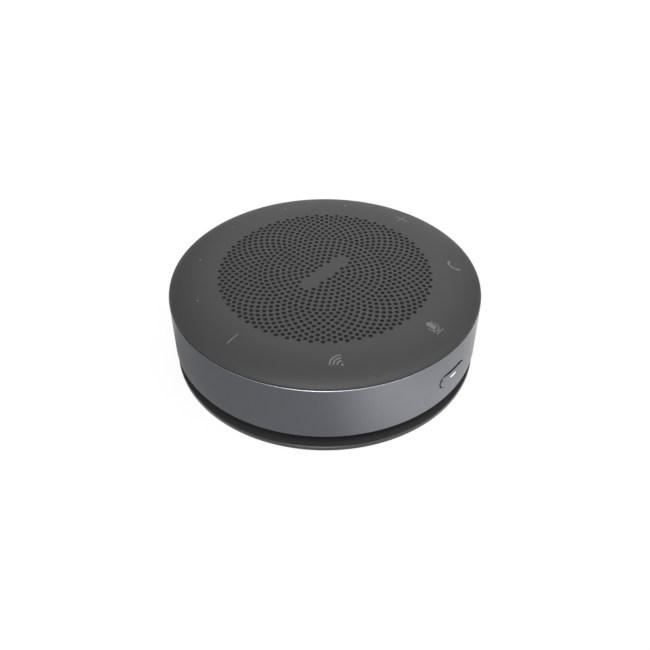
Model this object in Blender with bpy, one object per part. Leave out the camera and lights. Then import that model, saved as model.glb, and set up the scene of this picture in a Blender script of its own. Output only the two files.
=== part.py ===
"""Conference speakerphone: a round table puck with a perforated cover over an upward speaker.

Frame: origin at the middle of the face it rests on, +Z up, -Y towards the power button,
+Y towards the charging socket. Lengths below are millimetres; meshes are in metres.
"""

import math

import bmesh
import bpy
from mathutils import Matrix

MM = 0.001

# Driving dimensions: case
GAP = 0.3  # between neighbouring pieces
WALL = 2.0  # moulded walls
BODY_R = 62.5  # metal band, outside
BODY_H = 36.5  # table to grille
BASE_H = 7.95  # lip's underside to the band's lower edge
BAND_T = 1.8
BAND_CHAMFER = 0.4
COVER_RISE = 4.75  # grille above the band's top edge
SHOULDER_RUN = 16.3  # from the cover's rim in to its flat middle
LIP_H = 2.0
NECK_INSET = 7.3  # waist between band and lip
PAD_T = 1.6  # rubber pad, of which PAD_RISE stands below the lip
PAD_RISE = 0.8
PAD_INSET = 8.2

# Driving dimensions: grille. Every second hole of every second ring of the real cover, each
# twice as wide: the same rings, rim and open area with a quarter of the faces
PITCH_SHARE = 0.1122  # of the grille's radius
HOLE_SHARE = 0.3125  # of the pitch
HOLE_SIDES = 6
CORE_RINGS = 5  # ring k has 6k holes; further rings keep the count of the last
GRILLE_MARGIN = 3.1  # from the flat's edge to the outer holes
BARE_HALF = 10.0  # half the straight length of the bare patch in the middle
BARE_R = 3.1

# Driving dimensions: power button and its switch
BUTTON_W = 15.1
BUTTON_H = 5.5
BUTTON_PROUD = 0.65
BUTTON_TRAVEL = 0.4
BUTTON_SHARE = 0.43  # button centre, as a share of the band's height
LIGHT_W = 4.0
LIGHT_H = 1.0
SWITCH_SIDE = 6.0
PLUNGER_R = 1.6

# Driving dimensions: loudspeaker driver; a share is of the height inside the case
DRIVER_R = 33.4
CONE_SHARE = 0.659  # of the driver's radius, as are the next two
COIL_SHARE = 0.2335
BACK_SHARE = 0.479
CONE_TRAVEL = 1.5
YOKE_SHARE = 0.078
MAGNET_SHARE = 0.124
PLATE_SHARE = 0.059
BASKET_SHARE = 0.294
BASKET_T = 1.5
PAPER_T = 0.5
SHEET_T = 0.4

# Driving dimensions: boards, socket, cell and fasteners
BOARD_T = 1.2
BOARD_LIFT = 1.7  # main board above the band's lower edge
SOCKET_W = 8.94
SOCKET_H = 3.26
SOCKET_L = 7.3
CELL_L = 62.0
CELL_W = 42.0
CELL_SHARE = 0.154
SHIELD_L = 16.0
SHIELD_W = 14.0
CHIP_SIDE = 8.0
CABLE_W = 8.0
CABLE_TURN = 5.0
SCREW_R = 1.5
SMALL_SCREW_R = 1.0

# Heights that follow
SEAM_Z = BODY_H - COVER_RISE
BAND_Z = PAD_RISE + BASE_H
BAND_H = SEAM_Z - BAND_Z
UNDER_Z = BODY_H - WALL
FLOOR_Z = PAD_T + GAP
FLOOR_TOP = FLOOR_Z + WALL
ROOM = UNDER_Z - FLOOR_TOP
CELL_T = CELL_SHARE * ROOM
YOKE_T = YOKE_SHARE * ROOM
MAGNET_T = MAGNET_SHARE * ROOM
PLATE_T = PLATE_SHARE * ROOM
BASKET_H = BASKET_SHARE * ROOM
MAIN_Z = BAND_Z + BOARD_LIFT
MAIN_TOP = MAIN_Z + BOARD_T
CELL_Z = FLOOR_TOP + GAP
YOKE_Z = CELL_Z + CELL_T + 2 * GAP
MAGNET_Z = YOKE_Z + YOKE_T + GAP
PLATE_Z = MAGNET_Z + MAGNET_T + GAP
BASKET_Z = PLATE_Z + PLATE_T + GAP
BASKET_TOP = BASKET_Z + BASKET_T
SPIDER_SEAT = BASKET_TOP + CONE_TRAVEL + 0.9
SPIDER_Z = SPIDER_SEAT + GAP
NECK_Z = SPIDER_Z + 1.6
FLANGE_Z = BASKET_Z + BASKET_H
FLANGE_TOP = FLANGE_Z + BASKET_T
GASKET_T = 0.6
DECK_TOP = FLANGE_Z - 2 * GAP - GASKET_T
DECK_Z = DECK_TOP - WALL
TOUCH_Z = SEAM_Z - 1.0
BUTTON_Z = BAND_Z + BUTTON_SHARE * BAND_H
SOCKET_Z = MAIN_TOP + GAP + SOCKET_H / 2

# Radii that follow
BAND_IN = BODY_R - BAND_T
SPIGOT_R = BAND_IN - GAP
SPIGOT_IN = SPIGOT_R - WALL
RIM_R = BODY_R - GAP
LIP_R = BODY_R - GAP
FLAT_R = RIM_R - SHOULDER_RUN
GRILLE_R = FLAT_R - GRILLE_MARGIN
HOLE_PITCH = PITCH_SHARE * GRILLE_R
HOLE_R = HOLE_SHARE * HOLE_PITCH
CONE_R = CONE_SHARE * DRIVER_R
COIL_R = COIL_SHARE * DRIVER_R
MAGNET_R = BACK_SHARE * DRIVER_R
NECK_R = BODY_R - NECK_INSET
PAD_R = BODY_R - PAD_INSET
BOSS_R = 2 * SCREW_R - 0.1
POST_R = 2 * SCREW_R + 0.5
BOLT_R = FLAT_R + SCREW_R
DOT_R = BOLT_R + BOSS_R + 1.6
CLOTH_R = BOLT_R - BOSS_R - 2 * GAP
BOARD_R = SPIGOT_IN - 2.4
DECK_R = SPIGOT_IN - 1.8
FLANGE_BOLT_R = DRIVER_R - 2.6
POLE_R = COIL_R - SHEET_T - 0.5
WINDING_R = COIL_R + 0.6
BASKET_IN = CONE_R + 1.2

CASE_SIDES = 56
INNER_SIDES = 16
BOSS_SIDES = 8

for old in list(bpy.data.objects):
    bpy.data.objects.remove(old, do_unlink=True)

parts = bpy.data.collections.new("conference_speakerphone")
cutters = bpy.data.collections.new("cutters")
for group in (parts, cutters):
    bpy.context.scene.collection.children.link(group)

# Colour, roughness and metalness of each kind of material
GREY_PLASTIC = ((0.095, 0.095, 0.097), 0.62, 0.0)
BLACK_PLASTIC = ((0.022, 0.022, 0.024), 0.55, 0.0)
ANODISED = ((0.20, 0.21, 0.23), 0.38, 1.0)
WHITE_LENS = ((0.85, 0.87, 0.90), 0.35, 0.0)
RUBBER = ((0.018, 0.018, 0.018), 0.85, 0.0)
CLOTH = ((0.03, 0.03, 0.03), 0.95, 0.0)
PAPER = ((0.05, 0.05, 0.055), 0.8, 0.0)
STEEL = ((0.55, 0.55, 0.56), 0.35, 1.0)
FERRITE = ((0.06, 0.06, 0.065), 0.6, 0.0)
COPPER = ((0.60, 0.28, 0.13), 0.4, 1.0)
GREEN_BOARD = ((0.02, 0.14, 0.07), 0.5, 0.0)
FOIL = ((0.62, 0.63, 0.65), 0.4, 1.0)
AMBER_FILM = ((0.42, 0.22, 0.05), 0.5, 0.0)
RED_SLEEVE = ((0.45, 0.03, 0.03), 0.6, 0.0)


def placed(name, mesh, look):
    """Puts a mesh in the scene as a part with its own material or, with no look, as a cutter."""
    obj = bpy.data.objects.new(name, mesh)
    if look is None:
        cutters.objects.link(obj)
        obj.hide_render = True
        obj.display_type = "WIRE"
        return obj
    parts.objects.link(obj)
    colour, rough, metal = look
    material = bpy.data.materials.new(name)
    material.use_nodes = True
    shader = material.node_tree.nodes["Principled BSDF"]
    shader.inputs["Base Color"].default_value = (*colour, 1.0)
    shader.inputs["Roughness"].default_value = rough
    shader.inputs["Metallic"].default_value = metal
    mesh.materials.append(material)
    return obj


def from_bmesh(name, bm, look):
    bmesh.ops.recalc_face_normals(bm, faces=bm.faces)
    mesh = bpy.data.meshes.new(name)
    bm.to_mesh(mesh)
    bm.free()
    return placed(name, mesh, look)


def turned(name, profile, sides, look=None):
    """Spins a profile of (radius, height) about Z; a profile that starts on the axis is capped flat."""
    bm = bmesh.new()
    solid = profile[0][0] == 0
    points = [bm.verts.new((r * MM, 0, z * MM)) for r, z in profile if r > 0]
    lines = [bm.edges.new(pair) for pair in zip(points, points[1:])]
    if not solid:
        lines.append(bm.edges.new((points[-1], points[0])))
    bmesh.ops.spin(bm, geom=points + lines, axis=(0, 0, 1), angle=2 * math.pi, steps=sides)
    bmesh.ops.remove_doubles(bm, verts=bm.verts, dist=1e-6)
    bmesh.ops.holes_fill(bm, edges=[e for e in bm.edges if e.is_boundary], sides=0)
    return from_bmesh(name, bm, look)


def extruded(name, outline, low, high, look=None, along="Z"):
    """Extrudes a flat outline from low to high; along Y the outline is read as (x, z)."""
    bm = bmesh.new()
    if along == "Z":
        points = [(u, v, low) for u, v in outline]
    else:
        points = [(u, low, v) for u, v in outline]
    face = bm.faces.new([bm.verts.new([c * MM for c in p]) for p in points])
    moved = bmesh.ops.extrude_face_region(bm, geom=[face])["geom"]
    shift = (0, 0, (high - low) * MM) if along == "Z" else (0, (high - low) * MM, 0)
    bmesh.ops.translate(
        bm, vec=shift, verts=[v for v in moved if isinstance(v, bmesh.types.BMVert)]
    )
    return from_bmesh(name, bm, look)


def rods(name, centres, radius, low, high, sides, look=None):
    """Upright round rods at (x, y), all in one mesh."""
    bm = bmesh.new()
    for x, y in centres:
        bmesh.ops.create_cone(
            bm,
            cap_ends=True,
            segments=sides,
            radius1=radius * MM,
            radius2=radius * MM,
            depth=(high - low) * MM,
            matrix=Matrix.Translation((x * MM, y * MM, (low + high) / 2 * MM)),
        )
    return from_bmesh(name, bm, look)


def block(name, x, y, z, look=None):
    """A box between two limits on each axis."""
    outline = [(x[0], y[0]), (x[1], y[0]), (x[1], y[1]), (x[0], y[1])]
    return extruded(name, outline, z[0], z[1], look)


def combine(obj, other, operation="DIFFERENCE"):
    step = obj.modifiers.new(operation.lower(), "BOOLEAN")
    step.operation = operation
    step.solver = "EXACT"
    step.object = other


def set_origin(obj, x, y, z):
    """Moves an object's origin, leaving its mesh where it is."""
    place = Matrix.Translation((x * MM, y * MM, z * MM))
    obj.data.transform(place.inverted())
    obj.matrix_world = place


def stadium(width, height, middle, steps=6):
    """A slot outline with round ends, centred on x = 0 at the given height."""
    end = (width - height) / 2
    turn = [math.pi * i / steps - math.pi / 2 for i in range(steps + 1)]
    right = [(end + height / 2 * math.cos(a), middle + height / 2 * math.sin(a)) for a in turn]
    return right + [(-x, 2 * middle - z) for x, z in right]


def around(radius, degrees):
    return [(radius * math.cos(math.radians(a)), radius * math.sin(math.radians(a))) for a in degrees]


BOLTS = around(BOLT_R, (45, 135, 225, 315))
DOTS = around(DOT_R, (30, 60, 90, 120, 150))
FLANGE_BOLTS = around(FLANGE_BOLT_R, (45, 135, 225, 315))


def grille_centres():
    """Ring k holds 6k holes, odd rings turned half a step; past the core the count stays and
    each ring sits one even spacing from the last. The bare patch in the middle is left out."""
    found = []
    ring, radius = 0, 0.0
    spacing = HOLE_PITCH * 1.027
    while True:
        ring += 1
        count = 6 * min(ring, CORE_RINGS)
        if ring <= CORE_RINGS:
            radius = ring * HOLE_PITCH
        else:
            half = math.pi / count
            radius = radius * math.cos(half) + math.sqrt(spacing**2 - (radius * math.sin(half)) ** 2)
        if radius + HOLE_R > GRILLE_R:
            return found
        for i in range(count):
            angle = 2 * math.pi * (i + ring % 2 / 2) / count
            x, y = radius * math.cos(angle), radius * math.sin(angle)
            if math.hypot(max(abs(x) - BARE_HALF, 0), y) > BARE_R:
                found.append((x, y))


# Top cover: a shallow dish with a flat perforated middle and a shoulder that falls to the band
rise, drop = COVER_RISE - GAP, UNDER_Z - SEAM_Z
shoulder = [math.radians(a) for a in (90, 62, 38, 17, 0)]
inside = [math.radians(a) for a in (0, 40, 90)]
cover_profile = (
    [(0, BODY_H)]
    + [(FLAT_R + (RIM_R - FLAT_R) * math.cos(a), SEAM_Z + GAP + rise * math.sin(a)) for a in shoulder]
    + [(SPIGOT_R, SEAM_Z + GAP), (SPIGOT_R, SEAM_Z - 3.2), (SPIGOT_IN, SEAM_Z - 3.2)]
    + [(FLAT_R + (SPIGOT_IN - FLAT_R) * math.cos(a), SEAM_Z + drop * math.sin(a)) for a in inside]
    + [(0, UNDER_Z)]
)
top_cover = turned("top_cover", cover_profile, CASE_SIDES, GREY_PLASTIC)
combine(top_cover, rods("cover_bosses", BOLTS, BOSS_R, DECK_TOP + GAP, UNDER_Z + 0.5, BOSS_SIDES), "UNION")
combine(top_cover, rods("cover_boss_holes", BOLTS, SCREW_R + GAP, DECK_TOP - 1, SEAM_Z + 0.8, BOSS_SIDES))
combine(top_cover, rods("dot_holes", DOTS, 0.8, SEAM_Z, BODY_H + 1, 6))
combine(top_cover, rods("grille_holes", grille_centres(), HOLE_R, UNDER_Z - 1, BODY_H + 1, HOLE_SIDES))

# Acoustic cloth bonded under the perforations
turned(
    "grille_cloth",
    [(0, UNDER_Z - GAP), (CLOTH_R, UNDER_Z - GAP), (CLOTH_R, UNDER_Z - 2 * GAP), (0, UNDER_Z - 2 * GAP)],
    32,
    CLOTH,
)

# Touch board under the shoulder, with the five status lamps on it, and its light guide
lamp_top = SEAM_Z + 0.6
touch_board = turned(
    "touch_board",
    [(SPIGOT_IN - GAP, SEAM_Z), (SPIGOT_IN - GAP, TOUCH_Z), (FLAT_R, TOUCH_Z), (FLAT_R, SEAM_Z)],
    32,
    GREEN_BOARD,
)
combine(touch_board, rods("touch_board_notches", BOLTS, BOSS_R + GAP, TOUCH_Z - 1, SEAM_Z + 1, BOSS_SIDES))
combine(touch_board, rods("status_lamps", DOTS, 0.9, SEAM_Z - 0.4, lamp_top, 4), "UNION")

rail_z = lamp_top + GAP
rail_turn = [22 + 136 * i / 12 for i in range(13)]
rail_outline = around(DOT_R + 1.0, rail_turn) + around(DOT_R - 1.0, reversed(rail_turn))
status_light_guide = extruded("status_light_guide", rail_outline, rail_z, rail_z + 0.8, WHITE_LENS)
reach = math.sqrt(1 - ((DOT_R - FLAT_R) / (RIM_R - FLAT_R)) ** 2)
dot_top = SEAM_Z + GAP + rise * reach - 0.2
combine(status_light_guide, rods("status_pins", DOTS, 0.5, rail_z + 0.4, dot_top, 6), "UNION")

# Microphones on the underside of the touch board
for name, (x, y) in zip(
    ("microphone_1", "microphone_2", "microphone_3", "microphone_4"),
    around(BOLT_R + BOSS_R + 2.6, (0, 90, 200, 290)),
):
    block(name, (x - 1.5, x + 1.5), (y - 1.5, y + 1.5), (TOUCH_Z - GAP - 1.0, TOUCH_Z - GAP), FOIL)

# Side band: turned aluminium ring with broken edges, slotted for the button and the socket
c = BAND_CHAMFER
side_band = turned(
    "side_band",
    [
        (BODY_R - c, SEAM_Z),
        (BODY_R, SEAM_Z - c),
        (BODY_R, BAND_Z + c),
        (BODY_R - c, BAND_Z),
        (BAND_IN, BAND_Z),
        (BAND_IN, SEAM_Z),
    ],
    CASE_SIDES,
    ANODISED,
)
slot = stadium(BUTTON_W + 2 * GAP, BUTTON_H + 2 * GAP, BUTTON_Z)
combine(side_band, extruded("button_slot", slot, -BODY_R - 2, -BAND_IN + 3, None, "Y"))
mouth = stadium(SOCKET_W + 2 * GAP, SOCKET_H + 2 * GAP, SOCKET_Z)
combine(side_band, extruded("socket_slot", mouth, BAND_IN - 3, BODY_R + 2, None, "Y"))

# Power button: a cap that follows the band, a lit window through it and the switch behind
flange_front = -math.sqrt(BAND_IN**2 - (BUTTON_W / 2 + 1.2) ** 2) + GAP + 0.3
flange_back = flange_front + 1.2
power_button_cap = extruded(
    "power_button_cap",
    stadium(BUTTON_W, BUTTON_H, BUTTON_Z),
    -BODY_R - BUTTON_PROUD - 1,
    flange_back,
    ANODISED,
    "Y",
)
face_r = BODY_R + BUTTON_PROUD
face_ring = [(0, SEAM_Z), (face_r, SEAM_Z), (face_r, BAND_Z), (0, BAND_Z)]
combine(power_button_cap, turned("button_face", face_ring, 128), "INTERSECT")
flange = stadium(BUTTON_W + 2.4, BUTTON_H + 2.4, BUTTON_Z)
combine(
    power_button_cap, extruded("button_flange", flange, flange_front, flange_back, None, "Y"), "UNION"
)
window = stadium(LIGHT_W + 2 * GAP, LIGHT_H + 2 * GAP, BUTTON_Z, 4)
combine(power_button_cap, extruded("button_window", window, -face_r - 1, flange_back + 1, None, "Y"))
set_origin(power_button_cap, 0, flange_back, BUTTON_Z)

guide_back = flange_back + GAP + 1.0
power_button_light_guide = extruded(
    "power_button_light_guide",
    stadium(LIGHT_W, LIGHT_H, BUTTON_Z, 4),
    -face_r + 0.05,
    guide_back - 0.5,
    WHITE_LENS,
    "Y",
)
plate = stadium(LIGHT_W + 8, BUTTON_H - 1.3, BUTTON_Z, 4)
combine(
    power_button_light_guide,
    extruded("light_guide_plate", plate, flange_back + GAP, guide_back, None, "Y"),
    "UNION",
)
pusher = stadium(2 * PLUNGER_R + 0.2, 2 * PLUNGER_R, BUTTON_Z, 4)
combine(
    power_button_light_guide,
    extruded("light_guide_pusher", pusher, guide_back - 0.5, guide_back + 0.4, None, "Y"),
    "UNION",
)
set_origin(power_button_light_guide, 0, guide_back, BUTTON_Z)

plunger_front = guide_back + 0.4 + GAP
switch_front = plunger_front + 0.9
plunger_back = switch_front + 1.2
switch_back = plunger_back + BUTTON_TRAVEL + 0.5
plunger_round = stadium(2 * PLUNGER_R + 0.01, 2 * PLUNGER_R, BUTTON_Z)
switch_plunger = extruded(
    "switch_plunger", plunger_round, plunger_front, plunger_back, GREY_PLASTIC, "Y"
)
set_origin(switch_plunger, 0, plunger_back, BUTTON_Z)
switch_body = block(
    "switch_body",
    (-SWITCH_SIDE / 2, SWITCH_SIDE / 2),
    (switch_front, switch_back),
    (BUTTON_Z - SWITCH_SIDE / 2, BUTTON_Z + SWITCH_SIDE / 2),
    BLACK_PLASTIC,
)
bore = stadium(2 * PLUNGER_R + 2 * GAP + 0.01, 2 * PLUNGER_R + 2 * GAP, BUTTON_Z)
combine(
    switch_body,
    extruded("switch_bore", bore, switch_front - 1, plunger_back + BUTTON_TRAVEL + 0.1, None, "Y"),
)
lamp_x = SWITCH_SIDE / 2 + 1.2
block(
    "power_lamp",
    (lamp_x, lamp_x + 2.0),
    (switch_back - 0.8, switch_back),
    (BUTTON_Z - 0.6, BUTTON_Z + 0.6),
    WHITE_LENS,
)
board_half = BUTTON_W / 2 + 3.2
board_front = switch_back + GAP
board_back = board_front + BOARD_T
block(
    "button_board",
    (-board_half, board_half),
    (board_front, board_back),
    (MAIN_TOP + 2 * GAP, DECK_Z - 2 * GAP),
    GREEN_BOARD,
)

# Button bracket: a moulded trough on the main board that holds the button board upright
cheek = board_half + GAP
bracket_back = board_back + GAP + 1.8
bracket_outline = [
    (-cheek - 1.5, switch_front),
    (-cheek, switch_front),
    (-cheek, board_back + GAP),
    (cheek, board_back + GAP),
    (cheek, switch_front),
    (cheek + 1.5, switch_front),
    (cheek + 1.5, bracket_back),
    (-cheek - 1.5, bracket_back),
]
extruded("button_bracket", bracket_outline, MAIN_TOP + GAP, DECK_Z - GAP, BLACK_PLASTIC)

# Inner chassis: the deck that carries the driver, on four posts the case bolts run through
inner_chassis = turned(
    "inner_chassis",
    [(DECK_R, DECK_TOP), (DECK_R, DECK_Z), (BASKET_IN + 3, DECK_Z), (BASKET_IN + 3, DECK_TOP)],
    32,
    BLACK_PLASTIC,
)
posts = rods("chassis_posts", BOLTS, POST_R, MAIN_TOP + GAP, DECK_Z + 0.8, BOSS_SIDES)
combine(inner_chassis, posts, "UNION")
post_holes = rods("post_holes", BOLTS, SCREW_R + GAP, MAIN_TOP - 1, DECK_TOP + 1, BOSS_SIDES)
combine(inner_chassis, post_holes)
flange_holes = rods(
    "flange_holes", FLANGE_BOLTS, SMALL_SCREW_R + GAP, DECK_Z - 1, FLANGE_TOP + 1, 6
)
combine(inner_chassis, flange_holes)

# Loudspeaker driver, from the mounting gasket down to the yoke
gasket_top = FLANGE_Z - GAP
driver_gasket = turned(
    "driver_gasket",
    [
        (DRIVER_R, gasket_top),
        (DRIVER_R, gasket_top - GASKET_T),
        (BASKET_IN + 3, gasket_top - GASKET_T),
        (BASKET_IN + 3, gasket_top),
    ],
    INNER_SIDES,
    RUBBER,
)
combine(driver_gasket, flange_holes)

seat_out = MAGNET_R + 1.0
driver_basket = turned(
    "driver_basket",
    [
        (DRIVER_R, FLANGE_TOP),
        (DRIVER_R, FLANGE_Z),
        (BASKET_IN + BASKET_T, FLANGE_Z),
        (BASKET_IN + BASKET_T, FLANGE_Z - 1.4),
        (seat_out + BASKET_T, SPIDER_SEAT - 0.8),
        (seat_out + BASKET_T, BASKET_Z),
        (WINDING_R + 1.4, BASKET_Z),
        (WINDING_R + 1.4, BASKET_TOP),
        (seat_out - 1.6, BASKET_TOP),
        (seat_out - 1.6, SPIDER_SEAT),
        (seat_out, SPIDER_SEAT),
        (BASKET_IN, FLANGE_Z - 0.8),
        (BASKET_IN, FLANGE_TOP),
    ],
    INNER_SIDES,
    STEEL,
)
combine(driver_basket, flange_holes)

roll_half = 2.2
roll_mid = CONE_R + roll_half
roll_turn = [math.radians(a) for a in (0, 45, 90, 135, 180)]
sheet_z = FLANGE_TOP + GAP
glue_r = FLANGE_BOLT_R - 1.85 * SMALL_SCREW_R - 2 * GAP
over = [
    (roll_mid + (roll_half + SHEET_T) * math.cos(a), sheet_z + SHEET_T + 1.6 * math.sin(a))
    for a in reversed(roll_turn)
]
under = [(roll_mid + roll_half * math.cos(a), sheet_z + 1.6 * math.sin(a)) for a in roll_turn]
turned(
    "driver_surround",
    [(CONE_R - 1.6, sheet_z + SHEET_T)]
    + over
    + [(glue_r, sheet_z + SHEET_T), (glue_r, sheet_z)]
    + under
    + [(CONE_R - 1.6, sheet_z)],
    INNER_SIDES,
    RUBBER,
)

bore_r = COIL_R + GAP
turned(
    "driver_cone",
    [
        (bore_r, NECK_Z + PAPER_T),
        (CONE_R - 1.5, FLANGE_TOP),
        (CONE_R, FLANGE_TOP),
        (CONE_R, FLANGE_TOP - PAPER_T),
        (CONE_R - 1.4, FLANGE_TOP - PAPER_T),
        (bore_r, NECK_Z),
    ],
    INNER_SIDES,
    PAPER,
)
cap_r = COIL_R + 1.8
cap_z = NECK_Z + PAPER_T + GAP + (FLANGE_TOP - NECK_Z) * (cap_r - bore_r) / (CONE_R - bore_r)
dome = [(0, 2.4), (0.5, 2.05), (0.82, 1.15), (1.0, 0.0)]
turned(
    "driver_dust_cap",
    [(cap_r * f, cap_z + SHEET_T + h) for f, h in dome]
    + [((cap_r - 0.5) * f, cap_z + h) for f, h in reversed(dome)],
    INNER_SIDES,
    PAPER,
)
coil_middle = PLATE_Z + PLATE_T / 2
turned(
    "driver_voice_coil",
    [
        (COIL_R, NECK_Z + 1.0),
        (COIL_R, coil_middle + 2.2),
        (WINDING_R, coil_middle + 2.2),
        (WINDING_R, coil_middle - 2.2),
        (COIL_R, coil_middle - 2.2),
        (COIL_R, MAGNET_Z + CONE_TRAVEL),
        (COIL_R - SHEET_T, MAGNET_Z + CONE_TRAVEL),
        (COIL_R - SHEET_T, NECK_Z + 1.0),
    ],
    INNER_SIDES,
    COPPER,
)
folds = 4
fold = [
    (bore_r + (seat_out - GAP - bore_r) * i / folds, SPIDER_Z + (0.7 if i % 2 else 0.0))
    for i in range(folds + 1)
]
turned(
    "driver_spider",
    [(r, z + SHEET_T) for r, z in fold] + [(r, z) for r, z in reversed(fold)],
    INNER_SIDES,
    AMBER_FILM,
)
plate_in = WINDING_R + 0.5
plate_top = PLATE_Z + PLATE_T
turned(
    "driver_top_plate",
    [(MAGNET_R, plate_top), (MAGNET_R, PLATE_Z), (plate_in, PLATE_Z), (plate_in, plate_top)],
    INNER_SIDES,
    STEEL,
)
magnet_in = WINDING_R + 1.4
magnet_top = MAGNET_Z + MAGNET_T
turned(
    "driver_magnet",
    [(MAGNET_R, magnet_top), (MAGNET_R, MAGNET_Z), (magnet_in, MAGNET_Z), (magnet_in, magnet_top)],
    INNER_SIDES,
    FERRITE,
)
turned(
    "driver_yoke",
    [
        (0, plate_top),
        (POLE_R, plate_top),
        (POLE_R, YOKE_Z + YOKE_T),
        (MAGNET_R, YOKE_Z + YOKE_T),
        (MAGNET_R, YOKE_Z),
        (0, YOKE_Z),
    ],
    INNER_SIDES,
    STEEL,
)


def screw(name, place, shank_r, low, high, head_low):
    """A pan-head screw; the head is below the shank when head_low is set, else above it."""
    ends = (low - 2.2, low + 0.3) if head_low else (high - 0.3, high + 1.2)
    obj = rods(name, [place], shank_r, low, high, BOSS_SIDES, STEEL)
    combine(obj, rods(name + "_head", [place], 1.85 * shank_r, *ends, BOSS_SIDES), "UNION")


for i, place in enumerate(FLANGE_BOLTS):
    screw(f"driver_screw_{i + 1}", place, SMALL_SCREW_R, DECK_Z + 0.4, FLANGE_TOP + GAP, False)

# Main board with its chips and the charging socket
main_board = turned(
    "main_board",
    [(BOARD_R, MAIN_TOP), (BOARD_R, MAIN_Z), (MAGNET_R + 3, MAIN_Z), (MAGNET_R + 3, MAIN_TOP)],
    32,
    GREEN_BOARD,
)
combine(main_board, rods("board_bolt_holes", BOLTS, SCREW_R + GAP, MAIN_Z - 1, MAIN_TOP + 1, BOSS_SIDES))
chip_z = MAIN_TOP + GAP
board_mid = (MAGNET_R + 3 + BOARD_R) / 2
block(
    "processor_shield",
    (-board_mid - SHIELD_L / 2, -board_mid + SHIELD_L / 2),
    (-SHIELD_W / 2, SHIELD_W / 2),
    (chip_z, chip_z + 2.2),
    FOIL,
)
block(
    "amplifier_chip",
    (board_mid - CHIP_SIDE / 2, board_mid + CHIP_SIDE / 2),
    (-2 * CHIP_SIDE, -CHIP_SIDE),
    (chip_z, chip_z + 1.1),
    BLACK_PLASTIC,
)

socket_mouth = BAND_IN + 0.4
socket_back = socket_mouth - SOCKET_L
usb_shell = extruded(
    "usb_shell", stadium(SOCKET_W, SOCKET_H, SOCKET_Z), socket_back, socket_mouth, STEEL, "Y"
)
hollow = stadium(SOCKET_W - 0.6, SOCKET_H - 0.6, SOCKET_Z)
combine(usb_shell, extruded("usb_hollow", hollow, socket_back - 1, socket_mouth + 1, None, "Y"))
heel = stadium(SOCKET_W - 0.6 - 2 * GAP, SOCKET_H - 0.6 - 2 * GAP, SOCKET_Z)
usb_tongue = extruded("usb_tongue", heel, socket_back + GAP, socket_back + 1.8, BLACK_PLASTIC, "Y")
blade = block(
    "usb_blade",
    (-SOCKET_W * 0.37, SOCKET_W * 0.37),
    (socket_back + 1.2, socket_mouth - 1.2),
    (SOCKET_Z - 0.35, SOCKET_Z + 0.35),
)
combine(usb_tongue, blade, "UNION")

# Flat cable from the touch board down to the main board, and the two leads
cable_x = -(SPIGOT_IN - 0.8)
low, high = MAIN_TOP + GAP, TOUCH_Z - GAP
cable = [
    (cable_x, low),
    (cable_x + CABLE_TURN, low),
    (cable_x + CABLE_TURN, low + GAP),
    (cable_x + GAP, low + GAP),
    (cable_x + GAP, high - GAP),
    (cable_x + CABLE_TURN, high - GAP),
    (cable_x + CABLE_TURN, high),
    (cable_x, high),
]
extruded("touch_cable", cable, -CABLE_W / 2, CABLE_W / 2, AMBER_FILM, "Y")


def lead(name, points, radius, look):
    """A round lead through the given points, as a bevelled curve."""
    curve = bpy.data.curves.new(name, "CURVE")
    curve.dimensions = "3D"
    curve.bevel_depth = radius * MM
    curve.bevel_resolution = 1
    curve.resolution_u = 4
    curve.use_fill_caps = True
    spline = curve.splines.new("BEZIER")
    spline.bezier_points.add(len(points) - 1)
    for knot, point in zip(spline.bezier_points, points):
        knot.co = [c * MM for c in point]
        knot.handle_left_type = knot.handle_right_type = "AUTO"
    placed(name, curve, look)


wall_r = (BASKET_IN + BASKET_T + seat_out + BASKET_T) / 2 + 0.9
lead(
    "speaker_lead",
    [
        (wall_r, 0, (FLANGE_Z + SPIDER_SEAT) / 2 - 1.1),
        (wall_r + 4, 0, (FLANGE_Z + SPIDER_SEAT) / 2 - 3.5),
        (wall_r + 5, 0, MAIN_TOP + GAP),
    ],
    0.7,
    RED_SLEEVE,
)
cell_end = CELL_L / 2
lead(
    "battery_lead",
    [
        (cell_end + GAP, 6, CELL_Z + CELL_T / 2),
        (cell_end + 4, 6, CELL_Z + CELL_T / 2 + 0.5),
        (cell_end + 6, 6, MAIN_Z - GAP),
    ],
    0.7,
    RED_SLEEVE,
)

# Battery: a flat pouch on the floor of the base
block(
    "battery_pack",
    (-CELL_L / 2, CELL_L / 2),
    (-CELL_W / 2, CELL_W / 2),
    (CELL_Z, CELL_Z + CELL_T),
    FOIL,
)

# Base cover: lip, concave waist and spigot in one moulding, with bosses for the case bolts
waist_top = BAND_Z + 0.2
lip_top = PAD_RISE + LIP_H
waist = [math.radians(a) for a in (0, 25, 50, 75)]
run, height = LIP_R - 0.6 - NECK_R, waist_top - 1.2 - lip_top
base_cover = turned(
    "base_cover",
    [
        (0, FLOOR_TOP),
        (NECK_R - WALL, FLOOR_TOP),
        (NECK_R - WALL, waist_top),
        (SPIGOT_IN, MAIN_Z + 0.4),
        (SPIGOT_R, MAIN_Z + 0.4),
        (SPIGOT_R, waist_top),
        (NECK_R, waist_top),
    ]
    + [(NECK_R + run * (1 - math.cos(a)), lip_top + height * (1 - math.sin(a))) for a in waist]
    + [
        (LIP_R - 0.5, lip_top),
        (LIP_R, lip_top - 0.5),
        (LIP_R, PAD_RISE + 0.5),
        (LIP_R - 0.5, PAD_RISE),
        (PAD_R + GAP, PAD_RISE),
        (PAD_R + GAP, FLOOR_Z),
        (0, FLOOR_Z),
    ],
    CASE_SIDES,
    BLACK_PLASTIC,
)
base_bosses = rods("base_bosses", BOLTS, 2.8 * SCREW_R, FLOOR_TOP - 0.8, MAIN_Z - GAP, BOSS_SIDES)
combine(base_cover, base_bosses, "UNION")
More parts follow.
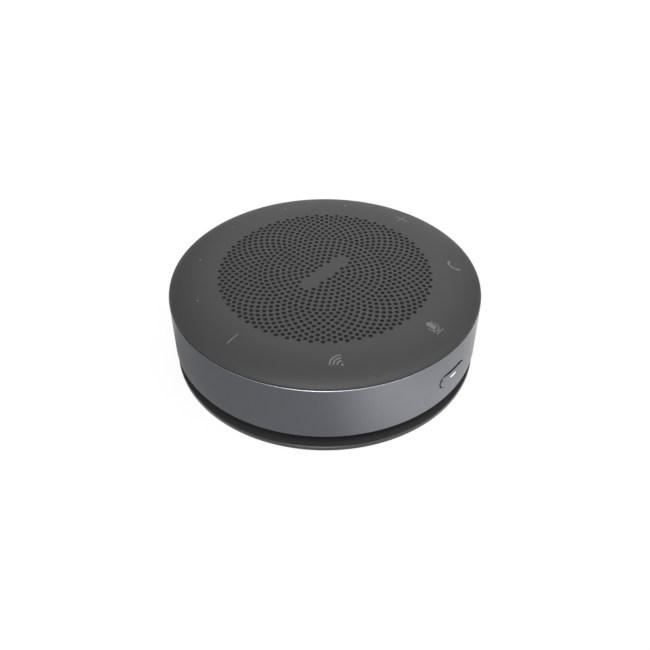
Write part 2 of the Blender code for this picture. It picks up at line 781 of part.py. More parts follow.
bolt_seat = FLOOR_Z + 2.8
combine(base_cover, rods("base_bolt_holes", BOLTS, SCREW_R + GAP, FLOOR_Z - 1, MAIN_Z + 1, BOSS_SIDES))
head_pockets = rods("head_pockets", BOLTS, 1.85 * SCREW_R + GAP, FLOOR_Z - 1, bolt_seat, BOSS_SIDES)
combine(base_cover, head_pockets)
for i, place in enumerate(BOLTS):
    screw(f"case_screw_{i + 1}", place, SCREW_R, bolt_seat - GAP, SEAM_Z + 0.2, True)

# Rubber pad that the puck stands on
turned(
    "foot_pad",
    [(0, PAD_T), (PAD_R, PAD_T), (PAD_R, 0.5), (PAD_R - 0.5, 0), (0, 0)],
    CASE_SIDES,
    RUBBER,
)
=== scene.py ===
"""Round conference speakerphone: an assembled puck with a perforated cover, anodised band and dark base.

The object's sizes are in millimetres and the studio's in metres. The front, with the power button, is -Y,
and the table is z = 0.
"""

import math

import bpy
import numpy as np
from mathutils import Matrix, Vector
from mathutils.geometry import delaunay_2d_cdt


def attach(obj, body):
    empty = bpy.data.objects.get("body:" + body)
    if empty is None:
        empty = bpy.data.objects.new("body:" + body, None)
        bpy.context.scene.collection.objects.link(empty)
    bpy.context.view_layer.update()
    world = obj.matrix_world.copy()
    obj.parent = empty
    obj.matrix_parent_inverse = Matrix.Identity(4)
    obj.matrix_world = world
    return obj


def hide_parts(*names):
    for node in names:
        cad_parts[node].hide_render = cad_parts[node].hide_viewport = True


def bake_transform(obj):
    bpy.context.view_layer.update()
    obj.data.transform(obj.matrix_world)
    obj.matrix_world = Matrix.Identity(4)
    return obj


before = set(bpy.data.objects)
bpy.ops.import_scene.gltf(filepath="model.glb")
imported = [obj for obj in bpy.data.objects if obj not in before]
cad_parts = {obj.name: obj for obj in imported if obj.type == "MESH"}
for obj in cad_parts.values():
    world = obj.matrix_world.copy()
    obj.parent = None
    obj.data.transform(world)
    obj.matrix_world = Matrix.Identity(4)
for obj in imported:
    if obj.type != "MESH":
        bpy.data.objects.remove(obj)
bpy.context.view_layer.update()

# Base cover: the lower half of the case, moulded in one piece from dark ABS with a fine spark-eroded grain.
# A concave waist draws in under the band, and below it a drafted lip with a sloping upper edge and a rounded
# lower one flares out again. Four screws from below, hidden by the rubber pad, hold it.
MM = 0.001
TURN_SIDES = 256
LIP_R, LIP_LOW, LIP_HIGH, LIP_ROUND, LIP_DRAFT = 62.25, 0.75, 2.66, 0.4, 0.06
LIP_CUT_RUN, LIP_CUT_FALL = 0.28, 0.21
WAIST_R, WAIST_HIGH, WAIST_INSET, WAIST_SWEEP = 55.2, 7.75, 0.6, 80
BASE_TOP, FLOOR_LOW, FLOOR_HIGH = 8.95, 1.9, 3.9
RECESS_R, BASE_IN = 54.6, 53.2
SPIGOT_R, SPIGOT_IN, SPIGOT_TOP = 60.4, 58.4, 10.85
COLOUR_NOISE, ROUGH_NOISE, ROUGH_SPREAD = (0.35, 0.65), (0.3, 0.7), 0.02


def full_turn(count):
    """Evenly spaced angles once round, without the last one, which would meet the first."""
    return np.arange(count) * 2 * np.pi / count


def turned(profile, t):
    """Rings of a section's (r, z) points at the angles t: x = r cos t, y = r sin t."""
    r, z = np.asarray(profile, float).T
    return np.stack([np.outer(r, np.cos(t)), np.outer(r, np.sin(t)), np.repeat(z[:, None], len(t), 1)], -1)


def numbered(points, start=0):
    """Running numbers for a grid of points, in the grid's own shape."""
    shape = points.shape[:-1]
    return start + np.arange(math.prod(shape)).reshape(shape)


def bands(index, closed=False):
    """Quads between neighbouring rows of a grid of point numbers. Each row is a closed ring, and with closed
    set the last row joins the first. Faces look along (step round the ring) x (step between rows)."""
    low, high = (index, np.roll(index, -1, -2)) if closed else (index[..., :-1, :], index[..., 1:, :])
    return np.stack([low, np.roll(low, -1, -1), np.roll(high, -1, -1), high], -1).reshape(-1, 4)


def revolve(profile, sides=TURN_SIDES):
    """Turned solid of a section of (r, z) points, listed counter-clockwise. A section that starts and ends on
    the axis closes there in two fans of triangles, and any other joins its last ring to its first."""
    profile = np.asarray(profile, float)
    on_axis = profile[0, 0] == 0
    rings = turned(profile[1:-1] if on_axis else profile, full_turn(sides))
    index = numbered(rings)
    points, faces = rings.reshape(-1, 3), [bands(index, closed=not on_axis)]
    if on_axis:
        points = np.concatenate([points, [[0, 0, profile[0, 1]], [0, 0, profile[-1, 1]]]])
        first, last = np.full(sides, len(points) - 2), np.full(sides, len(points) - 1)
        faces.append(np.stack([first, np.roll(index[0], -1), index[0]], -1))
        faces.append(np.stack([index[-1], np.roll(index[-1], -1), last], -1))
    return points, faces


def arc(centre, radius, start, end, steps=40):
    """Points of a circular arc: centre + radius (cos a, sin a), with a from start to end in degrees."""
    a = np.radians(np.linspace(start, end, steps))
    return np.stack([centre[0] + radius * np.cos(a), centre[1] + radius * np.sin(a)], -1)


def piece(name, points, faces, look, body="housing", replaces=(), slot=None, crease=35, flat=0):
    """A mesh object from points in millimetres and arrays of faces. Folds over crease degrees stay sharp, and
    the first flat faces keep their own plane's normal. With no body, it is attached to none."""
    mesh = bpy.data.meshes.new(name)
    mesh.from_pydata((np.asarray(points) * MM).tolist(), [], [f for array in faces for f in array.tolist()])
    mesh.shade_smooth()
    mesh.set_sharp_from_angle(angle=math.radians(crease))
    if flat:
        smooth = np.ones(len(mesh.polygons), bool)
        smooth[:flat] = False
        mesh.polygons.foreach_set("use_smooth", smooth)
    mesh.materials.append(look)
    obj = bpy.data.objects.new(name, mesh)
    bpy.context.collection.objects.link(obj)
    if body:
        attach(obj, body)
    if replaces:
        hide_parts(*replaces)
    return obj


def add_node(tree, kind, inputs=None, **settings):
    """A new shader node with values on its inputs, by name or number, and with its own settings."""
    node = tree.nodes.new("ShaderNode" + kind)
    for setting, value in settings.items():
        setattr(node, setting, value)
    for name, value in (inputs or {}).items():
        node.inputs[name].default_value = value
    return node


def map_range(tree, source, span, onto=(0.0, 1.0), interpolation="LINEAR"):
    """The source's value, with span carried onto another range and held at its ends."""
    ends = {"From Min": span[0], "From Max": span[1], "To Min": onto[0], "To Max": onto[1]}
    node = add_node(tree, "MapRange", ends, interpolation_type=interpolation)
    tree.links.new(source, node.inputs["Value"])
    return node.outputs["Result"]


def grained(name, dark, light, rough, grain, depth, metal=0.0, broad=12.0):
    """Material of a moulded, rolled or blasted surface. Noise of the grain size mixes the two colours and
    lifts the bump by depth, and noise of the broad size moves the roughness a little. Both read Object
    coordinates. A colour is red, green and blue, or one number for a grey."""
    material = bpy.data.materials.new(name)
    material.use_nodes = True
    tree = material.node_tree
    link = tree.links.new
    shader = tree.nodes["Principled BSDF"]
    shader.inputs["Metallic"].default_value = metal
    where = add_node(tree, "TexCoord").outputs["Object"]
    fine = add_node(tree, "TexNoise", {"Scale": 1 / (grain * MM), "Detail": 3.0})
    wide = add_node(tree, "TexNoise", {"Scale": 1 / (broad * MM)})
    ramp = add_node(tree, "ValToRGB")
    for stop, place, colour in zip(ramp.color_ramp.elements, COLOUR_NOISE, (dark, light)):
        stop.position = place
        stop.color = (*np.broadcast_to(colour, 3), 1)
    bump = add_node(tree, "Bump", {"Distance": depth * MM})
    link(where, fine.inputs["Vector"])
    link(where, wide.inputs["Vector"])
    link(fine.outputs["Fac"], ramp.inputs["Fac"])
    link(ramp.outputs["Color"], shader.inputs["Base Color"])
    rough_ends = (rough - ROUGH_SPREAD, rough + ROUGH_SPREAD)
    link(map_range(tree, wide.outputs["Fac"], ROUGH_NOISE, rough_ends), shader.inputs["Roughness"])
    link(fine.outputs["Fac"], bump.inputs["Height"])
    link(bump.outputs["Normal"], shader.inputs["Normal"])
    return material


waist = np.radians(np.linspace(WAIST_SWEEP, 0, 24))
waist_r = WAIST_R + (LIP_R - WAIST_INSET - WAIST_R) * (1 - np.cos(waist))
waist_z = LIP_HIGH + (WAIST_HIGH - LIP_HIGH) * (1 - np.sin(waist))
lip_top_r = LIP_R - LIP_DRAFT
base_profile = np.concatenate(
    [
        [(0, FLOOR_LOW), (RECESS_R, FLOOR_LOW), (RECESS_R, LIP_LOW)],
        arc((LIP_R - LIP_ROUND, LIP_LOW + LIP_ROUND), LIP_ROUND, -90, 0, 7),
        [(lip_top_r, LIP_HIGH - LIP_CUT_FALL), (lip_top_r - LIP_CUT_RUN, LIP_HIGH)],
        np.stack([waist_r, waist_z], -1),
        [(WAIST_R, BASE_TOP), (SPIGOT_R, BASE_TOP), (SPIGOT_R, SPIGOT_TOP), (SPIGOT_IN, SPIGOT_TOP)],
        [(BASE_IN, BASE_TOP), (BASE_IN, FLOOR_HIGH), (0, FLOOR_HIGH)],
    ]
)
base_look = grained("base_moulding", 0.064, 0.076, 0.28, 0.22, 0.008)
piece(
    "base_shell", *revolve(base_profile), base_look, replaces=["base_cover"], slot="base_plastic", crease=25
)

# Battery: a flat lithium pouch in the base, sealed in laminated aluminium foil that keeps a slight crinkle.
# Double-sided tape holds it to the floor of the base.


def dress(look, *names):
    """Puts a material on CAD nodes whose solids are shown as they are."""
    for name in names:
        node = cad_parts[name]
        node.data.materials.clear()
        node.data.materials.append(look)


foil_look = grained("cell_foil", (0.42, 0.43, 0.45), (0.55, 0.56, 0.58), 0.32, 2.4, 0.08, metal=1.0)
dress(foil_look, "battery_pack")

# Main board: green glass-epoxy with the processor under a tinned steel can, the amplifier in black epoxy,
# and soldered leads in soft PVC sleeves to the driver and the battery.
board_look = grained("solder_mask", (0.006, 0.055, 0.022), (0.010, 0.080, 0.034), 0.35, 0.9, 0.01)
tin_look = grained("tinned_steel", (0.52, 0.51, 0.49), (0.62, 0.61, 0.59), 0.28, 0.5, 0.004, metal=1.0)
epoxy_look = grained("chip_epoxy", (0.012, 0.012, 0.013), (0.020, 0.020, 0.021), 0.45, 0.12, 0.006)
sleeve_look = grained("lead_sleeve", (0.20, 0.012, 0.010), (0.26, 0.016, 0.013), 0.42, 0.8, 0.006)
dress(board_look, "main_board", "touch_board", "button_board")
dress(tin_look, "processor_shield", "microphone_1", "microphone_2", "microphone_3", "microphone_4")
dress(epoxy_look, "amplifier_chip")
dress(sleeve_look, "speaker_lead")
dress(grained("battery_sleeve", 0.012, 0.02, 0.42, 0.8, 0.006), "battery_lead")

# Charging socket: a seamless drawn steel shell with a rolled mouth round a black tongue that carries plated
# contacts on both faces. It is soldered to the rear edge of the main board and shows in a slot of the band.
SOCKET_Z, SOCKET_BACK, SOCKET_MOUTH = 13.58, 53.8, 61.1
SHELL_W, SHELL_H, SHELL_WALL, SHELL_FLOOR = 8.94, 3.26, 0.3, 1.0
TONGUE_W, TONGUE_T, TONGUE_BACK, TONGUE_END = 6.6, 0.7, 55.1, 60.2
CONTACTS, CONTACT_PITCH, CONTACT_BACK, CONTACT_HALF = 12, 0.5, 2.0, (0.13, 1.5, 0.035)


def stadium(width, height, arc_steps=16, side_steps=8):
    """Outline of a slot with round ends, counter-clockwise from its lower right corner, as (across, up): two
    half circles of radius height / 2 and two straight runs, each cut into equal steps."""
    radius, half = height / 2, (width - height) / 2
    a = np.linspace(-np.pi / 2, np.pi / 2, arc_steps, endpoint=False)
    s = np.linspace(half, -half, side_steps, endpoint=False)
    right = np.stack([half + radius * np.cos(a), radius * np.sin(a)], -1)
    top = np.stack([s, np.full(side_steps, radius)], -1)
    return np.concatenate([right, top, -right, -top])


def loft(rings):
    """Closed solid through equal rings of points, with flat caps on the first and last ring."""
    index = numbered(rings)
    return rings.reshape(-1, 3), [bands(index), index[:1, ::-1], index[-1:]]


def rear_ring(width, height, depth):
    """A slot outline round the socket's axis in the plane y = depth, counter-clockwise seen from behind."""
    outline = stadium(width, height)
    return np.stack([-outline[:, 0], np.full(len(outline), depth), SOCKET_Z + outline[:, 1]], -1)


# The mouth is half a circle as thick as the wall. It turns in by the wall's thickness on each side.
mouth_round = SHELL_WALL / 2
mouth_turns = np.radians(np.linspace(0, 180, 7))
rolled_mouth = [
    rear_ring(SHELL_W - narrow, SHELL_H - narrow, SOCKET_MOUTH - mouth_round + rise)
    for narrow, rise in zip(SHELL_WALL * (1 - np.cos(mouth_turns)), mouth_round * np.sin(mouth_turns))
]
shell_back = rear_ring(SHELL_W, SHELL_H, SOCKET_BACK)
shell_floor = rear_ring(SHELL_W - 2 * SHELL_WALL, SHELL_H - 2 * SHELL_WALL, SOCKET_BACK + SHELL_FLOOR)
shell_rings = np.stack([shell_back, *rolled_mouth, shell_floor])
socket_look = grained("drawn_steel", (0.46, 0.46, 0.47), (0.56, 0.56, 0.57), 0.3, 0.35, 0.004, metal=1.0)
piece(
    "socket_shell", *loft(shell_rings), socket_look, replaces=["usb_shell"], slot="socket_steel", crease=40
)
# The tongue's nose: how much narrower than the tongue, and how far from its end.
TONGUE_NOSE = ((0.0, 0.2), (0.12, 0.05), (0.4, 0.0))
tongue_rings = np.stack(
    [rear_ring(TONGUE_W, TONGUE_T, TONGUE_BACK)]
    + [rear_ring(TONGUE_W - slim, TONGUE_T - slim, TONGUE_END - short) for slim, short in TONGUE_NOSE]
)
tongue_look = grained("tongue_nylon", (0.014, 0.014, 0.015), (0.024, 0.024, 0.025), 0.5, 0.3, 0.006)
piece(
    "socket_tongue", *loft(tongue_rings), tongue_look,
    replaces=["usb_tongue"], slot="socket_plastic", crease=40,
)
# Each contact is a flat block, half sunk in the tongue's face.
contact_x = (np.arange(CONTACTS) - (CONTACTS - 1) / 2) * CONTACT_PITCH
contact_at = np.array(
    [(x, TONGUE_END - CONTACT_BACK, SOCKET_Z + side * TONGUE_T / 2) for side in (-1, 1) for x in contact_x]
)
corners = np.array([(-1, -1), (1, -1), (1, 1), (-1, 1)])
block = np.concatenate([np.insert(corners, 2, end, axis=1) for end in (-1, 1)]) * CONTACT_HALF
block_faces = np.array([(3, 2, 1, 0), (4, 5, 6, 7), (0, 1, 5, 4), (1, 2, 6, 5), (2, 3, 7, 6), (3, 0, 4, 7)])
contact_points = (contact_at[:, None] + block).reshape(-1, 3)
contact_faces = (numbered(contact_at)[:, None, None] * len(block) + block_faces).reshape(-1, 4)
gold_look = grained("gold_plate", (0.78, 0.55, 0.22), (0.86, 0.62, 0.28), 0.25, 0.3, 0.002, metal=1.0)
piece("socket_contacts", contact_points, [contact_faces], gold_look)

# Inner chassis: a glass-filled moulding that carries the driver and closes its air chamber, screwed to the
# base with plated steel screws. The bracket that backs the power switch is of the same plastic.
chassis_look = grained("chassis_moulding", (0.030, 0.030, 0.031), (0.042, 0.042, 0.043), 0.55, 0.5, 0.015)
screw_look = grained("plated_screw", (0.42, 0.42, 0.43), (0.54, 0.54, 0.55), 0.3, 0.3, 0.006, metal=1.0)
dress(chassis_look, "inner_chassis", "button_bracket")
dress(screw_look, *[f"{kind}_screw_{i}" for kind in ("driver", "case") for i in (1, 2, 3, 4)])

# Loudspeaker driver: pressed steel basket, top plate and yoke round a ferrite ring, with a paper cone and
# dust cap. The cone moves on a rolled rubber surround and a varnished cloth spider, which are glued to it and
# to the basket and bend between them. The copper coil hangs from the cone in the magnet's gap.
SMALL_SIDES = 128
GLUE_IN, ROLL_IN, ROLL_OUT, GLUE_OUT = 20.41, 22.01, 26.41, 28.35
SURROUND_Z, ROLL_RISE, RUBBER_T = 29.2, 1.6, 0.4
SPIDER_IN, SPIDER_OUT, SPIDER_SEAT, SPIDER_GLUE, SPIDER_Z = 8.1, 16.7, 15.0, 0.6, 22.6
SPIDER_WAVES, SPIDER_RISE, SPIDER_T = 4, 0.7, 0.4
steel_look = grained("zinc_steel", (0.40, 0.41, 0.42), (0.50, 0.51, 0.52), 0.38, 0.6, 0.008, metal=1.0)
ferrite_look = grained("ferrite", (0.020, 0.020, 0.021), (0.032, 0.032, 0.033), 0.5, 0.4, 0.02)
pulp_look = grained("paper_pulp", (0.028, 0.027, 0.026), (0.050, 0.048, 0.046), 0.8, 0.7, 0.05)
wire_look = grained("coil_wire", (0.62, 0.24, 0.09), (0.80, 0.36, 0.16), 0.3, 0.15, 0.02, metal=1.0)
dress(steel_look, "driver_basket", "driver_top_plate", "driver_yoke")
dress(ferrite_look, "driver_magnet")
dress(pulp_look, "driver_cone", "driver_dust_cap")
dress(wire_look, "driver_voice_coil")
dress(grained("gasket_foam", 0.014, 0.026, 0.9, 0.25, 0.06), "driver_gasket")


def flexing(obj):
    """Moves each point to (its radius, 0, 0), bakes the transform into the mesh and puts the points back."""
    place = np.empty(len(obj.data.vertices) * 3, np.float32)
    obj.data.vertices.foreach_get("co", place)
    lined = np.zeros_like(place)
    lined[0::3] = np.hypot(place[0::3], place[1::3])
    obj.data.vertices.foreach_set("co", lined)
    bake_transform(obj)
    obj.data.vertices.foreach_set("co", place)


# The surround's half roll is an ellipse between two flat glued flanges.
roll_mid, roll_half = (ROLL_IN + ROLL_OUT) / 2, (ROLL_OUT - ROLL_IN) / 2
roll_turn = np.radians(np.linspace(0, 180, 25))
roll_z = SURROUND_Z + ROLL_RISE * np.sin(roll_turn)
surround_profile = np.concatenate(
    [
        [(GLUE_IN, SURROUND_Z)],
        np.stack([roll_mid - roll_half * np.cos(roll_turn), roll_z], -1),
        [(GLUE_OUT, SURROUND_Z), (GLUE_OUT, SURROUND_Z + RUBBER_T)],
        np.stack([roll_mid + (roll_half + RUBBER_T) * np.cos(roll_turn), roll_z + RUBBER_T], -1),
        [(GLUE_IN, SURROUND_Z + RUBBER_T)],
    ]
)
surround = piece(
    "surround_roll", *revolve(surround_profile, SMALL_SIDES),
    grained("rolled_rubber", 0.010, 0.018, 0.4, 0.6, 0.01),
    body=None, replaces=["driver_surround"], slot="surround_rubber",
)
flexing(surround)
# The spider's waves are a cosine of the radius.
spider_r = np.linspace(SPIDER_IN, SPIDER_OUT, 65)
spider_turn = 2 * np.pi * SPIDER_WAVES * (spider_r - SPIDER_IN) / (SPIDER_OUT - SPIDER_IN)
spider_z = SPIDER_Z + SPIDER_RISE * (1 - np.cos(spider_turn)) / 2
spider_profile = np.concatenate(
    [np.stack([spider_r, spider_z], -1), np.stack([spider_r, spider_z + SPIDER_T], -1)[::-1]]
)
spider = piece(
    "spider_waves", *revolve(spider_profile, SMALL_SIDES),
    grained("varnished_cloth", (0.30, 0.19, 0.07), (0.40, 0.27, 0.11), 0.7, 0.35, 0.06),
    body=None, replaces=["driver_spider"], slot="spider_cloth",
)
flexing(spider)

# Touch board: a ring board under the cover's shoulder that senses a finger through the plastic. A flat film
# cable in amber polyimide takes its signals down to the main board.
film_look = grained("polyimide_film", (0.36, 0.15, 0.025), (0.44, 0.20, 0.04), 0.3, 1.5, 0.004)
dress(film_look, "touch_cable")

# Side band: a ring cut from extruded aluminium tube, turned, bead blasted and anodised blue-grey. Its upper
# edge is cut after that, so the cut is bare bright metal, and its lower edge has a fine break. One milled
# slot takes the power button and another the charging socket.
BAND_R, BAND_IN, BAND_LOW, BAND_HIGH = 62.5, 60.7, 8.75, 32.0
TOP_CUT, LOW_CUT, INNER_BREAK, WORN_SHARE = 0.2, 0.12, 0.15, 0.18
BUTTON_Z, SLOT_W, SLOT_H, SLOT_SOFT = 18.64, 15.9, 6.3, 0.08
MOUTH_W, MOUTH_H = 9.54, 3.86
BAND_COLUMNS, BAND_ROWS, SLOT_CLEAR = 360, 9, 0.7
EDGE_TURNS = np.radians([30, 60, 90])
ANODISED = ((0.236, 0.244, 0.268), (0.258, 0.266, 0.292), 0.36, 0.3, 0.004)


def triangles_over(points, edges, hole):
    """Triangles of a flat sheet: a constrained Delaunay net of the 2-D points that keeps the edges, less
    those whose three corners lie round one hole. hole is the number of a point's hole, and -1 for none."""
    net = delaunay_2d_cdt([Vector(p) for p in points.tolist()], edges.tolist(), [], 1, 1e-7)
    source = np.array([each[0] for each in net[3]])
    tri = source[np.array(net[2])]
    a, b, c = points[tri].transpose(1, 0, 2)
    turn = (b[:, 0] - a[:, 0]) * (c[:, 1] - a[:, 1]) - (b[:, 1] - a[:, 1]) * (c[:, 0] - a[:, 0])
    tri = np.where(turn[:, None] < 0, tri[:, ::-1], tri)
    around = hole[tri]
    return tri[(around[:, 0] < 0) | (around != around[:, :1]).any(1)]


def loop_edges(rings):
    """Pairs of point numbers round each ring of a grid of point numbers."""
    return np.stack([rings, np.roll(rings, -1, 1)], -1).reshape(-1, 2)


def slot_ring(width, height, grow, radius, z, side):
    """A slot outline, grown on all sides, lying on the cylinder of that radius at the front (side -1) or the
    rear (side 1): x is across, and y = side sqrt(radius^2 - x^2). Counter-clockwise seen from outside."""
    outline = stadium(width + 2 * grow, height + 2 * grow)
    x = -side * outline[:, 0]
    return np.stack([x, side * np.sqrt(radius**2 - x**2), z + outline[:, 1]], -1)


def unrolled(points):
    """Angle round the axis from 0 to 360 degrees as a length at the band's radius, and height."""
    angle = np.arctan2(points[:, 1], points[:, 0]) % (2 * np.pi)
    return np.stack([angle * BAND_R, points[:, 2]], -1)


def second_look(obj, look, first, last):
    """Gives the faces numbered from first up to last another material."""
    obj.data.materials.append(look)
    which = np.zeros(len(obj.data.polygons), np.int32)
    which[first:last] = 1
    obj.data.polygons.foreach_set("material_index", which)


# The outer face is a flat net of rows and columns, with the slots' rims in it, that is wrapped round.
slots = [(SLOT_W, SLOT_H, BUTTON_Z, -1), (MOUTH_W, MOUTH_H, SOCKET_Z, 1)]
rows_z = np.linspace(BAND_LOW + LOW_CUT, BAND_HIGH - TOP_CUT, BAND_ROWS)
column_t = np.arange(BAND_COLUMNS + 1) * 2 * np.pi / BAND_COLUMNS
sheet = np.stack(np.meshgrid(column_t * BAND_R, rows_z), -1)
clear = np.ones(sheet.shape[:2], bool)
for width, height, z, side in slots:
    across = sheet[..., 0] - BAND_R * np.pi * (1.5 if side < 0 else 0.5)
    beyond = np.maximum(np.abs(across) - (width - height) / 2, 0)
    clear &= np.hypot(beyond, sheet[..., 1] - z) > height / 2 + SLOT_CLEAR
number = np.where(clear, np.cumsum(clear).reshape(clear.shape) - 1, -1)
rim_rings = np.stack([slot_ring(w, h, SLOT_SOFT, BAND_R, z, side) for w, h, z, side in slots])
flat_points = np.concatenate([sheet[clear], unrolled(rim_rings.reshape(-1, 3))])
hole_rings = numbered(rim_rings, clear.sum())
border = np.concatenate([number[0], number[1:, -1], number[-1, -2::-1], number[-2:0:-1, 0]])
hole = np.full(len(flat_points), -1)
hole[hole_rings] = np.arange(len(slots))[:, None]
sheet_edges = np.concatenate([loop_edges(border[None]), loop_edges(hole_rings)])
net = triangles_over(flat_points, sheet_edges, hole)
# The last column of the sheet is the first again, so its points take the first column's numbers.
seam = np.arange(len(flat_points))
seam[number[:, -1]] = number[:, 0]
net = seam[net]


def round_band(radius, grow):
    """The sheet wrapped on a cylinder, with the rims of the slots moved straight in to that cylinder."""
    t = flat_points[:, 0] / BAND_R
    wrapped = np.stack([radius * np.cos(t), radius * np.sin(t), flat_points[:, 1]], -1)
    for index, (w, h, z, side) in zip(hole_rings, slots):
        wrapped[index] = slot_ring(w, h, grow, radius, z, side)
    return wrapped


def soft_walls(width, height, z, side):
    """Rings down a slot's soft edge: at turn a it is SLOT_SOFT (1 - sin a) wider than the straight wall, and
    SLOT_SOFT (1 - cos a) under the outer face."""
    return [
        slot_ring(width, height, SLOT_SOFT * (1 - np.sin(a)), BAND_R - SLOT_SOFT * (1 - np.cos(a)), z, side)
        for a in EDGE_TURNS
    ]


def rim_rows(edge, way, cut):
    """Rings of one rim from the outer face to the inner one: a 45 degree cut whose corners are a little worn,
    then the flat edge and a small inner break, at the sheet's own columns."""
    worn = WORN_SHARE * cut
    profile = [
        (BAND_R - 0.25 * worn, edge - way * (cut - worn)),
        (BAND_R - cut + worn, edge - way * 0.25 * worn),
        (BAND_R - cut - 0.5 * worn, edge),
        (BAND_IN + INNER_BREAK, edge),
        (BAND_IN, edge - way * INNER_BREAK),
    ]
    return turned(profile, column_t[:-1])


count = len(flat_points)
wall_rings = np.array([soft_walls(*slot) for slot in slots])
top_rows = rim_rows(BAND_HIGH, 1, TOP_CUT)
low_rows = rim_rows(BAND_LOW, -1, LOW_CUT)
wall_index = numbered(wall_rings, 2 * count)
top_index = numbered(top_rows, wall_index.max() + 1)
low_index = numbered(low_rows, top_index.max() + 1)
outer_top, outer_low = number[-1:, :-1], number[:1, :-1]
slot_rows = np.concatenate([hole_rings[:, None], wall_index, hole_rings[:, None] + count], 1)
band_points = np.concatenate(
    [
        round_band(BAND_R, SLOT_SOFT),
        round_band(BAND_IN, 0.0),
        wall_rings.reshape(-1, 3),
        top_rows.reshape(-1, 3),
        low_rows.reshape(-1, 3),
    ]
)
band_faces = [
    net,
    net[:, ::-1] + count,
    bands(np.concatenate([outer_top, top_index, outer_top + count])),
    bands(np.concatenate([outer_low + count, low_index[::-1], outer_low])),
    bands(slot_rows),
]
band = piece(
    "band_ring", band_points, band_faces, grained("anodised_band", *ANODISED, metal=1.0),
    replaces=["side_band"], slot="band_anodised", crease=28,
)
cut_look = grained("bright_cut", (0.65, 0.68, 0.78), (0.71, 0.74, 0.84), 0.37, 0.4, 0.0002, metal=1.0)
second_look(band, cut_look, 2 * len(net), 2 * len(net) + 3 * BAND_COLUMNS)
# The outer face keeps the cylinder's own normals, so the slots' soft edges don't shade the metal round them.
corner = np.empty(len(band.data.loops) * 3, np.float32)
band.data.corner_normals.foreach_get("vector", corner)
corner = corner.reshape(-1, 3)
owner = np.empty(len(band.data.loops), np.int32)
band.data.loops.foreach_get("vertex_index", owner)
skin = len(net) * 3
corner[:skin] = band_points[owner[:skin]] * (1, 1, 0) / BAND_R
band.data.normals_split_custom_set(corner.tolist())

# Power switch: a tact switch on its own small board behind the button, in a black nylon body with a sprung
# plunger, and a white lamp beside it that lights the button's window.
nylon_look = grained("switch_nylon", (0.014, 0.014, 0.015), (0.024, 0.024, 0.025), 0.45, 0.3, 0.008)
dress(nylon_look, "switch_body", "switch_plunger")
dress(grained("lamp_epoxy", (0.72, 0.72, 0.66), (0.80, 0.80, 0.74), 0.3, 0.6, 0.004), "power_lamp")

# Power button: a machined aluminium cap anodised with the band, curved to the band's round, with a soft
# edge, a slot for the light window and a flange behind that keeps it in the band.
CAP_W, CAP_H, CAP_R, CAP_SOFT = 15.1, 5.5, 62.85, 0.24
CAP_BACK, FLANGE_FRONT = -58.27, -59.47
FLANGE_W, FLANGE_H = 17.5, 7.9
WINDOW_W, WINDOW_H, WINDOW_SOFT = 3.75, 0.95, 0.05


def front_ring(width, height, depth):
    """A slot outline round the button's axis in the plane y = depth, counter-clockwise seen from in front."""
    outline = stadium(width, height)
    return np.stack([outline[:, 0], np.full(len(outline), depth), BUTTON_Z + outline[:, 1]], -1)


def on_face(width, height, sink):
    """A slot outline on the button's curved face, sunk by that much: y = -sqrt((R - sink)^2 - x^2)."""
    return slot_ring(width, height, 0.0, CAP_R - sink, BUTTON_Z, -1)


# Both edges are quarter rounds. Between them the face is stretched from the outer outline to the window's.
soft = np.radians(np.linspace(0, 90, 7))
cap_edge = [
    on_face(CAP_W - 2 * narrow, CAP_H - 2 * narrow, sink)
    for narrow, sink in zip(CAP_SOFT * (1 - np.cos(soft)), CAP_SOFT * (1 - np.sin(soft)))
]
face_out = stadium(CAP_W - 2 * CAP_SOFT, CAP_H - 2 * CAP_SOFT)
face_in = stadium(WINDOW_W + 2 * WINDOW_SOFT, WINDOW_H + 2 * WINDOW_SOFT)
share = np.linspace(0, 1, 7)[1:, None, None]
face_x, face_z = np.moveaxis(face_out * (1 - share) + face_in * share, -1, 0)
face_rings = np.stack([face_x, -np.sqrt(CAP_R**2 - face_x**2), BUTTON_Z + face_z], -1)
window_edge = [
    on_face(WINDOW_W + 2 * wide, WINDOW_H + 2 * wide, sink)
    for wide, sink in zip(WINDOW_SOFT * (1 - np.sin(soft[1:])), WINDOW_SOFT * (1 - np.cos(soft[1:])))
]
cap_rings = np.stack(
    [
        front_ring(WINDOW_W, WINDOW_H, CAP_BACK),
        front_ring(FLANGE_W, FLANGE_H, CAP_BACK),
        front_ring(FLANGE_W, FLANGE_H, FLANGE_FRONT),
        front_ring(CAP_W, CAP_H, FLANGE_FRONT),
        *cap_edge,
        *face_rings,
        *window_edge,
    ]
)
piece(
    "button_cap", cap_rings.reshape(-1, 3), [bands(numbered(cap_rings), closed=True)],
    grained("anodised_button", *ANODISED, metal=1.0),
    body="power_button", replaces=["power_button_cap"], slot="button_anodised", crease=32,
)

# Light window: a clear acrylic bar pressed into the button from behind, its front end frosted so that the
# lamp makes it glow evenly.
BAR_W, BAR_H, BAR_SINK, BAR_BACK, BAR_GLOW = 3.6, 0.82, 0.03, -57.97, 1.05
